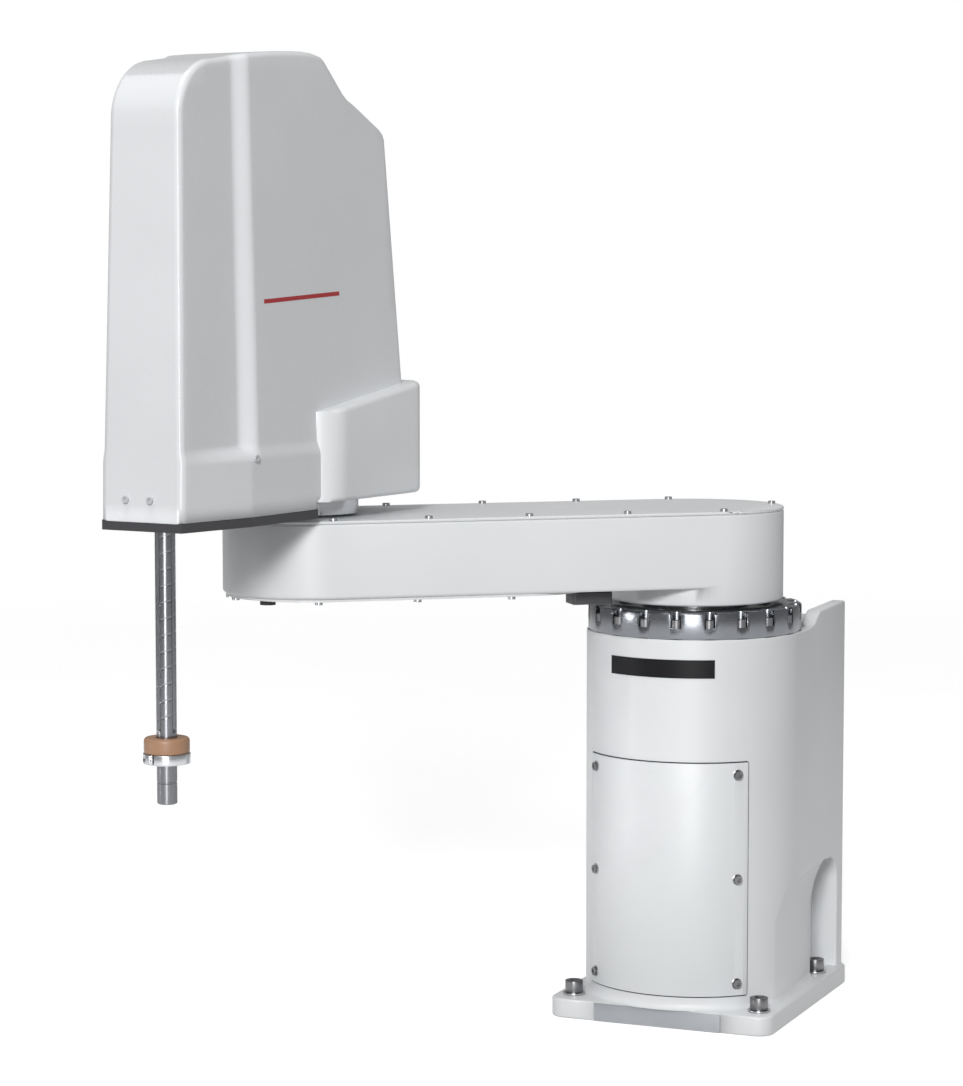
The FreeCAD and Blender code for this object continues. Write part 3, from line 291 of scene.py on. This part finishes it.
def solid_copy(node):
    """A node's shape as joined faces without the lines between flat triangles."""
    shape = bmesh.new()
    shape.from_mesh(NODES[node].data)
    bmesh.ops.remove_doubles(shape, verts=shape.verts, dist=JOIN_GAP)
    bmesh.ops.dissolve_limit(shape, angle_limit=FLAT_ANGLE, verts=shape.verts,
                             edges=shape.edges)
    return shape


def large_edges(shape, smallest):
    """Sharp edges, without the rims of screw holes and other small openings."""
    left = {e for e in shape.edges if e.is_manifold and e.calc_face_angle() > SHARP_ANGLE}
    kept = []
    while left:
        group, front = [], [left.pop()]
        while front:
            edge = front.pop()
            group.append(edge)
            for vert in edge.verts:
                for other in vert.link_edges:
                    if other in left:
                        left.remove(other)
                        front.append(other)
        points = [vert.co for edge in group for vert in edge.verts]
        size = max(max(p[i] for p in points) - min(p[i] for p in points) for i in range(3))
        if size > smallest:
            kept += group
    return kept


def round_edges(shape, edges, width, segments=4):
    bmesh.ops.bevel(shape, geom=edges, offset=width, offset_type="OFFSET",
                    segments=segments, profile=0.5, affect="EDGES", clamp_overlap=False)


def finished_mesh(shape, name, smooth=32):
    bmesh.ops.recalc_face_normals(shape, faces=shape.faces)
    mesh = bpy.data.meshes.new(name)
    for face in shape.faces:
        face.smooth = True
    shape.to_mesh(mesh)
    shape.free()
    mesh.set_sharp_from_angle(angle=math.radians(smooth))
    return mesh


def middle(edge):
    return (edge.verts[0].co + edge.verts[1].co) / 2


def circle(steps):
    """Even steps round a circle, each as its cosine and sine."""
    turns = [FULL_TURN * step / steps for step in range(steps)]
    return [(math.cos(turn), math.sin(turn)) for turn in turns]


def skin(shape, rows):
    """Faces between neighbouring rows of points, each row closed on itself."""
    for row, after in zip(rows, rows[1:]):
        for k, corner in enumerate(row):
            n = (k + 1) % len(row)
            shape.faces.new((corner, row[n], after[n], after[k]))


WALL_SLANT = 0.97
WALL_MISS = 1.2 * MM


def radial_shading(mesh, centre, radius):
    """Shade a mesh's round wall as the true cylinder that it stands for."""
    normals = [Vector() for _ in mesh.loops]
    for flat in mesh.polygons:
        spots = [mesh.vertices[index].co.xy - centre for index in flat.vertices]
        outwards = (sum(spots, Vector((0, 0))) / len(spots)).normalized()
        off_wall = any(abs(spot.length - radius) > WALL_MISS for spot in spots)
        if off_wall or outwards.dot(flat.normal.xy) < WALL_SLANT:
            continue
        for index, spot in zip(flat.loop_indices, spots):
            out = spot.normalized()
            normals[index] = Vector((out.x, out.y, 0))
    mesh.normals_split_custom_set(normals)


def softened(name, node, width, keep=lambda point: True, segments=4, smallest=40 * MM,
             look=None, round_wall=None):
    """A node's shape with its outer edges rounded, in place of the node."""
    shape = solid_copy(node)
    edges = [e for e in large_edges(shape, smallest) if e.is_convex and keep(middle(e))]
    round_edges(shape, edges, width, segments)
    mesh = finished_mesh(shape, name)
    if round_wall:
        radial_shading(mesh, *round_wall)
    add_piece(name, mesh, BODY_OF[node], SLOT_OF[node], node, look=look)


# ------------------------------------------------------------ hood
hood_low, hood_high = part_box("hood")
# The hood's own sizes are in mm: heights, reaches along the link, and half widths.
FOOT, ROOF = hood_low.z / MM, hood_high.z / MM
FRONT = max(arm2_place(v.co)[0] for v in NODES["hood"].data.vertices) / MM
CREASE = FOOT + 78
BAND = 252
SPINE, HIGH_SPINE = 60, 50.5
REAR, HIGH_REAR = 76, 62
SKIRT = 78
CORNER, LEAN, ARCH = 75, 12, 17
EDGE = 8.0
EDGE_STEPS = (0.5, 0.8, 1.2, 1.5, 1.9, 2.1)
SHELL_THICK = 3.5 * MM


def ease(value, low, high):
    share = min(max((value - low) / (high - low), 0.0), 1.0)
    return share * share * (3 - 2 * share)


def hood_outline():
    """The hood seen from its side, anticlockwise from the front foot.

    Its last corners run inside the elbow boss.
    """
    points = [(FRONT, FOOT - 12), (FRONT, FOOT)]
    for step in range(17):
        angle = math.radians(8 + 80 * step / 16)
        points.append((FRONT - LEAN - CORNER + CORNER * math.cos(angle),
                       ROOF - ARCH - CORNER + CORNER * math.sin(angle)))
    points += [(260, ROOF - 13.2), (230, ROOF - 8), (195, ROOF - 4.6), (160, ROOF - 2),
               (130, ROOF - 0.7), (105, ROOF), (88, ROOF - 0.8), (76, ROOF - 3),
               (69, ROOF - 4.2), (64, ROOF - 6.5), (60, ROOF - 9.5), (20, ROOF - 47.5),
               (10, ROOF - 54.5), (-4, ROOF - 60), (-65, ROOF - 90), (-72, ROOF - 95.5),
               (-76, ROOF - 103), (-105, ROOF - 416), (-106, ROOF - 430),
               (88, ROOF - 460), (88, FOOT + 9), (106, FOOT + 9), (106, FOOT - 12)]
    return points


def side_width(u, z):
    """Half the hood's width, without the rounding of its outline."""
    share = (z - FOOT) / (ROOF - FOOT)
    spine = SPINE + (HIGH_SPINE - SPINE) * share
    rear = REAR + (HIGH_REAR - REAR) * share
    panel = spine + (rear - spine) * ease(u, BAND + 3, BAND - 21)
    skirt = SPINE + (SKIRT - SPINE) * min((FRONT - u) / (FRONT - BAND), 1.0)
    return skirt + (panel - skirt) * ease(z, CREASE - 9, CREASE + 9)


def rounding(distance):
    """How far the flank falls back at a distance from the outline."""
    short = max(EDGE - distance, 0.0)
    return EDGE - math.sqrt(EDGE * EDGE - short * short)


def outline_distance(u, z, outline):
    best = 1e9
    for (ax, az), (bx, bz) in zip(outline, outline[1:] + outline[:1]):
        dx, dz = bx - ax, bz - az
        share = min(max(((u - ax) * dx + (z - az) * dz) / (dx * dx + dz * dz), 0.0), 1.0)
        best = min(best, math.hypot(u - ax - share * dx, z - az - share * dz))
    return best


def cut_lines(shape, normal, places):
    for place in places:
        geometry = shape.verts[:] + shape.edges[:] + shape.faces[:]
        bmesh.ops.bisect_plane(shape, geom=geometry, dist=0.05,
                               plane_co=Vector(normal) * place, plane_no=normal)


def make_hood():
    """The hood's shell: its outline filled twice, each side pushed out to its width."""
    outline = hood_outline()
    shape = bmesh.new()
    face = shape.faces.new([shape.verts.new((u, 0, z)) for u, z in outline])
    for step in EDGE_STEPS:
        bmesh.ops.inset_individual(shape, faces=[face], thickness=step, depth=0,
                                   use_even_offset=True)
    cut_lines(shape, (1, 0, 0), [*range(-90, 226, 21), *range(BAND - 24, BAND + 7, 3),
                                 *range(BAND + 16, 372, 12)])
    cut_lines(shape, (0, 0, 1), [FOOT + 20, FOOT + 40, FOOT + 58,
                                 *[CREASE + step for step in range(-12, 13, 3)],
                                 *[CREASE + 30 + 24 * step for step in range(19)]])
    sides = []
    for sign in (-1, 1):
        side = shape.copy()
        for vert in side.verts:
            u, z = vert.co.x, vert.co.z
            width = side_width(u, z) - rounding(outline_distance(u, z, outline))
            vert.co.y = sign * width
        sides.append(side)
    whole = bmesh.new()
    rims = []
    for side in sides:
        copies = {vert: whole.verts.new(vert.co) for vert in side.verts}
        for flat in side.faces:
            whole.faces.new([copies[vert] for vert in flat.verts])
        rims.append([(copies[e.verts[0]], copies[e.verts[1]]) for e in side.edges
                     if e.is_boundary])
        side.free()
    for (a, b), (c, d) in zip(*rims):
        whole.faces.new((a, b, d, c))
    shape.free()
    bmesh.ops.bisect_plane(whole, geom=whole.verts[:] + whole.edges[:] + whole.faces[:],
                           dist=0.02, plane_co=(0, 0, FOOT), plane_no=(0, 0, -1),
                           clear_outer=True)
    for vert in whole.verts:
        vert.co = on_arm2(vert.co.x * MM, vert.co.y * MM, vert.co.z * MM)
    mesh = finished_mesh(whole, "hood_cover", smooth=40)
    hood = add_piece("hood_cover", mesh, "arm2", "hood_shell", "hood")
    wall = hood.modifiers.new("wall", "SOLIDIFY")
    wall.thickness = SHELL_THICK
    wall.offset = -1


make_hood()

LINE_START, LINE_END = Vector((212, 958)), Vector((44, 966))
LINE_STEPS = 42
LINE_HALF, LINE_PROUD, LINE_SUNK = 2.6, 0.25, -0.3


def make_accent_line(name, side):
    """A plain thin painted line on the hood's flank."""
    shape = bmesh.new()
    rows = []
    for step in range(LINE_STEPS + 1):
        u, z = LINE_START.lerp(LINE_END, step / LINE_STEPS)
        row = []
        for lift, out in ((-LINE_HALF, LINE_SUNK), (-LINE_HALF, LINE_PROUD),
                          (LINE_HALF, LINE_PROUD), (LINE_HALF, LINE_SUNK)):
            width = side_width(u, z + lift) + out
            row.append(shape.verts.new(on_arm2(u * MM, side * width * MM, (z + lift) * MM)))
        rows.append(row)
    skin(shape, rows)
    shape.faces.new(rows[0])
    shape.faces.new(rows[-1][::-1])
    add_piece(name, finished_mesh(shape, name), "arm2", "damper_urethane", look=ACCENT)


make_accent_line("accent_left", -1)
make_accent_line("accent_right", 1)


# ------------------------------------------------------------ castings with rounded edges
softened("elbow_casting", "arm2_casting", 7 * MM,
         lambda point: abs(arm2_place(point)[1]) > 88 * MM or
         arm2_place(point)[0] < -104 * MM)
softened("link_casting", "arm1_casting", 3 * MM)
softened("link_lid", "arm1_top_cover", 1.4 * MM, segments=3)
cover_low, cover_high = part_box("front_cover")
column_radius = cover_high.x / math.sin(COVER_HALF_ANGLE) - COVER_THICK
# The rim of the window behind the service cover stays sharp.
softened("column_casting", "base_casting", 3 * MM,
         lambda point: not (point.y < -90 * MM and cover_low.z < point.z < cover_high.z),
         round_wall=(Vector((0, 0)), column_radius))
softened("service_cover", "front_cover", 0.9 * MM, segments=2)
softened("crown", "crown_ring", 0.8 * MM, segments=2, look=RING_STEEL)
softened("anchor_bolts", "base_bolts", 0.8 * MM, segments=2, smallest=10 * MM,
         look=DARK_STEEL)
softened("anchor_washers", "base_washers", 0.5 * MM, segments=2, smallest=10 * MM)
softened("clamp_collar", "stopper_collar", 1.2 * MM, segments=3, smallest=20 * MM,
         look=LOOKS["bearing_steel"])
softened("landing_ring", "damper_ring", 1.5 * MM, segments=4, smallest=20 * MM)
softened("stop_lug", "arm1_stop_lug", 1.2 * MM, segments=3, smallest=8 * MM)


def make_gasket():
    """The dark seal that shows round the service cover."""
    half = COVER_HALF_ANGLE * column_radius
    outer, inner, corner = 1.5 * MM, 2.5 * MM, 3 * MM
    front = -math.pi / 2
    shape = bmesh.new()

    def place(along_wall, z, radius):
        turn = front + along_wall / column_radius
        return shape.verts.new((radius * math.cos(turn), radius * math.sin(turn), z))

    def rim(grow, radius):
        side = half + grow - corner
        top, bottom = cover_high.z + grow - corner, cover_low.z - grow + corner
        spots = []
        for cx, cz, start in ((side, top, 0), (-side, top, 90), (-side, bottom, 180),
                              (side, bottom, 270)):
            for step in range(5):
                turn = math.radians(start + 22.5 * step)
                spots.append((cx + corner * math.cos(turn), cz + corner * math.sin(turn)))
            if start in (0, 180):
                # The level runs need more points, because they bend round the wall.
                edge = cz + corner if start == 0 else cz - corner
                spots += [(cx * (1 - k / 12), edge) for k in range(1, 24)]
        return [place(x, z, radius) for x, z in spots]

    rings = [rim(outer, column_radius - 0.5 * MM), rim(outer, column_radius + 0.9 * MM),
             rim(outer - 0.5 * MM, column_radius + 1.5 * MM),
             rim(-inner, column_radius + 1.5 * MM), rim(-inner, column_radius - 0.5 * MM)]
    skin(shape, rings + rings[:1])
    add_piece("cover_gasket", finished_mesh(shape, "cover_gasket"), "base", "black_rubber")


make_gasket()


def islands(node):
    """The places of a node's separate solids, as lists of corner points."""
    shape = bmesh.new()
    shape.from_mesh(NODES[node].data)
    bmesh.ops.remove_doubles(shape, verts=shape.verts, dist=JOIN_GAP)
    left = set(shape.verts)
    found = []
    while left:
        group, front = [], [left.pop()]
        while front:
            vert = front.pop()
            group.append(vert.co.copy())
            for edge in vert.link_edges:
                other = edge.other_vert(vert)
                if other in left:
                    left.remove(other)
                    front.append(other)
        found.append(group)
    shape.free()
    return found


SEAT_PROFILE = ((7.4, -0.3), (7.4, 0.5), (6.8, 0.9), (5.8, 0.5), (5.2, 0.5), (5.2, -0.3))


def make_screw_seats():
    """A dished washer under each screw of the service cover."""
    shape = bmesh.new()
    up = Vector((0, 0, 1))
    for points in islands("base_cover_screws"):
        centre = sum(points, Vector()) / len(points)
        if centre.y > 0:
            continue
        height = (min(p.z for p in points) + max(p.z for p in points)) / 2
        out = Vector((centre.x, centre.y, 0)).normalized()
        side = Vector((-out.y, out.x, 0))
        rings = []
        for radius, rise in SEAT_PROFILE:
            middle_spot = out * (column_radius + COVER_THICK + rise * MM) + up * height
            rings.append([shape.verts.new(middle_spot + (side * x + up * y) * radius * MM)
                          for x, y in circle(40)])
        skin(shape, rings + rings[:1])
    add_piece("screw_seats", finished_mesh(shape, "screw_seats"), "base", "zinc_steel")


make_screw_seats()


def make_foot_fillet():
    """The cast fillet between the column's foot and the plate."""
    size, sunk = 7 * MM, 0.6 * MM
    low, turn_in = PLATE_THICK - 0.2 * MM, math.asin(FLAT_HALF / column_radius)
    right, left = Vector((1, 0)), Vector((-1, 0))
    path = [(Vector((FLAT_HALF, FLAT_END)), right), (Vector((FLAT_HALF, 0)), right)]
    for step in range(41):
        turn = turn_in - 2 * turn_in * step / 40
        out = Vector((math.sin(turn), -math.cos(turn)))
        path.append((out * column_radius, out))
    path += [(Vector((-FLAT_HALF, 0)), left), (Vector((-FLAT_HALF, FLAT_END)), left)]
    profile = [(-sunk, low), (size, low)]
    for step in range(7):
        turn = math.radians(15 * step)
        profile.append((size * (1 - math.sin(turn)),
                        PLATE_THICK + size * (1 - math.cos(turn))))
    profile.append((-sunk, PLATE_THICK + size))
    shape = bmesh.new()
    rows = [[shape.verts.new((*(spot + out * away), z)) for away, z in profile]
            for spot, out in path]
    skin(shape, rows)
    shape.faces.new(rows[0])
    shape.faces.new(rows[-1][::-1])
    add_piece("foot_fillet", finished_mesh(shape, "foot_fillet", smooth=50), "base",
              "light_paint")


make_foot_fillet()


PAD_HALF = 88 * MM


def make_front_pad():
    """The milled face on the plate's front edge."""
    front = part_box("base_casting")[0].y + 0.3 * MM
    size = Vector((2 * PAD_HALF, 1.2 * MM, PLATE_THICK - 1.6 * MM))
    shape = bmesh.new()
    bmesh.ops.create_cube(shape, size=1)
    for vert in shape.verts:
        vert.co = vert.co * size + Vector((0, front, PLATE_THICK / 2))
    round_edges(shape, shape.edges[:], 0.4 * MM, 3)
    add_piece("front_pad", finished_mesh(shape, "front_pad"), "base", "panel_sheet",
              look=MILLED)


make_front_pad()


# ------------------------------------------------------------ tool shaft
# The shaft's sizes are in mm.
SHAFT_RADIUS, SHAFT_BORE = 12.5, 9
CHAMFER = 1.5
GROOVE_LOW, GROOVE_HIGH, GROOVE_DEPTH = 25.9, 27.3, 0.7
TRACK_START = math.radians(-16.5)
TRACK_HALF, TRACK_DEPTH = 2.4, 1.5
LEAD, THREAD_HALF, THREAD_DEPTH = 20, 1.3, 0.15
RUN_IN = 4
SHAFT_STEPS = 96


def dip(off, half, depth):
    """How deep a rounded track is at a distance from its middle."""
    return depth * max(0.0, 1 - (off / half) ** 2)


def shaft_radius(turn, z, low, plain_end):
    """The shaft's radius at an angle and a height, with its ball tracks."""
    radius = SHAFT_RADIUS
    if z < low + CHAMFER:
        radius -= low + CHAMFER - z
    if low + GROOVE_LOW < z < low + GROOVE_HIGH:
        radius -= GROOVE_DEPTH
    if z > plain_end:
        run = min((z - plain_end) / RUN_IN, 1.0)
        for quarter in range(4):
            track = TRACK_START + quarter * FULL_TURN / 4
            off = (turn - track + math.pi) % FULL_TURN - math.pi
            depth = dip(off * SHAFT_RADIUS, TRACK_HALF, TRACK_DEPTH)
            radius = min(radius, SHAFT_RADIUS - run * depth)
        phase = (turn / FULL_TURN - z / LEAD) % 1.0
        depth = dip(min(phase, 1 - phase) * LEAD, THREAD_HALF, THREAD_DEPTH)
        radius = min(radius, SHAFT_RADIUS - run * depth)
    return radius


def make_shaft():
    low, high = (corner.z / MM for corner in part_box("spline_shaft"))
    collar_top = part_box("damper_ring")[1].z / MM
    # The shaft shows up to here, and needs fewer rings above.
    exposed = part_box("arm2_base_plate")[0].z / MM + 6
    heights = [low + rise for rise in (0, 0.5, CHAMFER, 12, 25.5, 26, 27.2, 27.7, 40)]
    heights.append(collar_top + 4)
    z = collar_top + 5
    while z < high - 2:
        heights.append(z)
        z += 1.0 if z < exposed else 2.5
    heights.append(high)
    shape = bmesh.new()

    def ring(z, radius_at):
        corners = []
        for step, (x, y) in enumerate(circle(SHAFT_STEPS)):
            radius = radius_at(FULL_TURN * step / SHAFT_STEPS, z) * MM
            spot = (wrist.x + radius * x, wrist.y + radius * y, z * MM)
            corners.append(shape.verts.new(spot))
        return corners

    rings = [ring(z, lambda turn, z: shaft_radius(turn, z, low, collar_top + 6))
             for z in heights]
    rings += [ring(z, lambda turn, z: SHAFT_BORE) for z in (high, low)]
    skin(shape, rings + rings[:1])
    add_piece("ball_screw_shaft", finished_mesh(shape, "ball_screw_shaft", smooth=35),
              "tool_shaft", "polished_steel", "spline_shaft", look=SHAFT_STEEL)


make_shaft()


# ------------------------------------------------------------ floor, light and camera
FLOOR_RADIUS = 7.0
FLOOR_GLOW = 0.58
FADE_START, FADE_END = 2.2, 5.5


def make_floor():
    """A pale floor that fades out before its edge, so that no horizon line shows."""
    mesh = bpy.data.meshes.new("floor")
    rim = [(FLOOR_RADIUS * x, FLOOR_RADIUS * y, 0) for x, y in circle(96)]
    mesh.from_pydata(rim, [], [list(range(len(rim)))])
    floor = bpy.data.objects.new("floor", mesh)
    bpy.context.scene.collection.objects.link(floor)
    look = Finish("floor_white")
    clouds = look.span(look.noise(3, 3), 0.3, 0.7)
    look.feed(look.shader.inputs["Base Color"],
              look.blend(clouds, colour(0.86, 0.86, 0.86), colour(0.84, 0.84, 0.84)))
    look.shader.inputs["Roughness"].default_value = 0.7
    look.shader.inputs["Emission Color"].default_value = WHITE
    look.shader.inputs["Emission Strength"].default_value = FLOOR_GLOW
    length = look.add("ShaderNodeVectorMath", operation="LENGTH")
    look.join(look.place, length.inputs[0])
    look.feed(look.shader.inputs["Alpha"],
              look.span(length.outputs["Value"], FADE_START, FADE_END, 1, 0))
    mesh.materials.append(look.material)
    floor.visible_diffuse = False


make_floor()


def add_area(name, place, target, size, power, spread=180, only_shine=False):
    light = bpy.data.lights.new(name, "AREA")
    light.shape = "RECTANGLE"
    light.size, light.size_y = size
    light.energy = power
    light.spread = math.radians(spread)
    lamp = bpy.data.objects.new(name, light)
    bpy.context.scene.collection.objects.link(lamp)
    lamp.location = place
    lamp.rotation_euler = (Vector(target) - Vector(place)).to_track_quat("-Z", "Y").to_euler()
    lamp.visible_diffuse = not only_shine


AMBIENT = 0.32
BACKDROP = 1.0


def make_world():
    """A white surrounding, which the camera sees brighter than the object does."""
    world = bpy.data.worlds.new("studio")
    bpy.context.scene.world = world
    world.use_nodes = True
    tree = world.node_tree
    back = tree.nodes["Background"]
    seen = tree.nodes.new("ShaderNodeBackground")
    for shader, strength in ((back, AMBIENT), (seen, BACKDROP)):
        shader.inputs["Color"].default_value = WHITE
        shader.inputs["Strength"].default_value = strength
    path = tree.nodes.new("ShaderNodeLightPath")
    mixer = tree.nodes.new("ShaderNodeMixShader")
    tree.links.new(path.outputs["Is Camera Ray"], mixer.inputs[0])
    tree.links.new(back.outputs[0], mixer.inputs[1])
    tree.links.new(seen.outputs[0], mixer.inputs[2])
    tree.links.new(mixer.outputs[0], tree.nodes["World Output"].inputs["Surface"])


make_world()

# Each light: its place, what it points at, its width and height, and its power.
add_area("key", (1.78, -7.36, 4.14), (-0.2, -0.3, 0.65), (1.9, 1.9), 434)
add_area("top", (-0.8, -1.2, 4.2), (-0.3, -0.3, 0.6), (1.8, 1.8), 34)
# A narrow beam on the column, and a tall light that is seen only in reflections.
add_area("left", (-4.1, -2.9, 0.33), (-0.05, -0.1, 0.33), (0.6, 0.42), 0.14, spread=7)
add_area("strip", (1.55, -5.4, 0.2), (-0.2, -0.3, 0.5), (1.2, 3.0), 120, only_shine=True)

CAMERA_PLACE = (1.4044, -4.0715, 1.0187)
CAMERA_DOWN, CAMERA_TURN = 5.18, 22.85
SENSOR_WIDTH, LENS = 36, 120.2

camera_data = bpy.data.cameras.new("camera")
camera_data.sensor_fit = "HORIZONTAL"
camera_data.sensor_width = SENSOR_WIDTH
camera_data.lens = LENS
camera = bpy.data.objects.new("camera", camera_data)
bpy.context.scene.collection.objects.link(camera)
camera.location = CAMERA_PLACE
camera.rotation_euler = (math.radians(90 - CAMERA_DOWN), 0, math.radians(CAMERA_TURN))
bpy.context.scene.camera = camera
bpy.context.scene.view_settings.view_transform = "Standard"
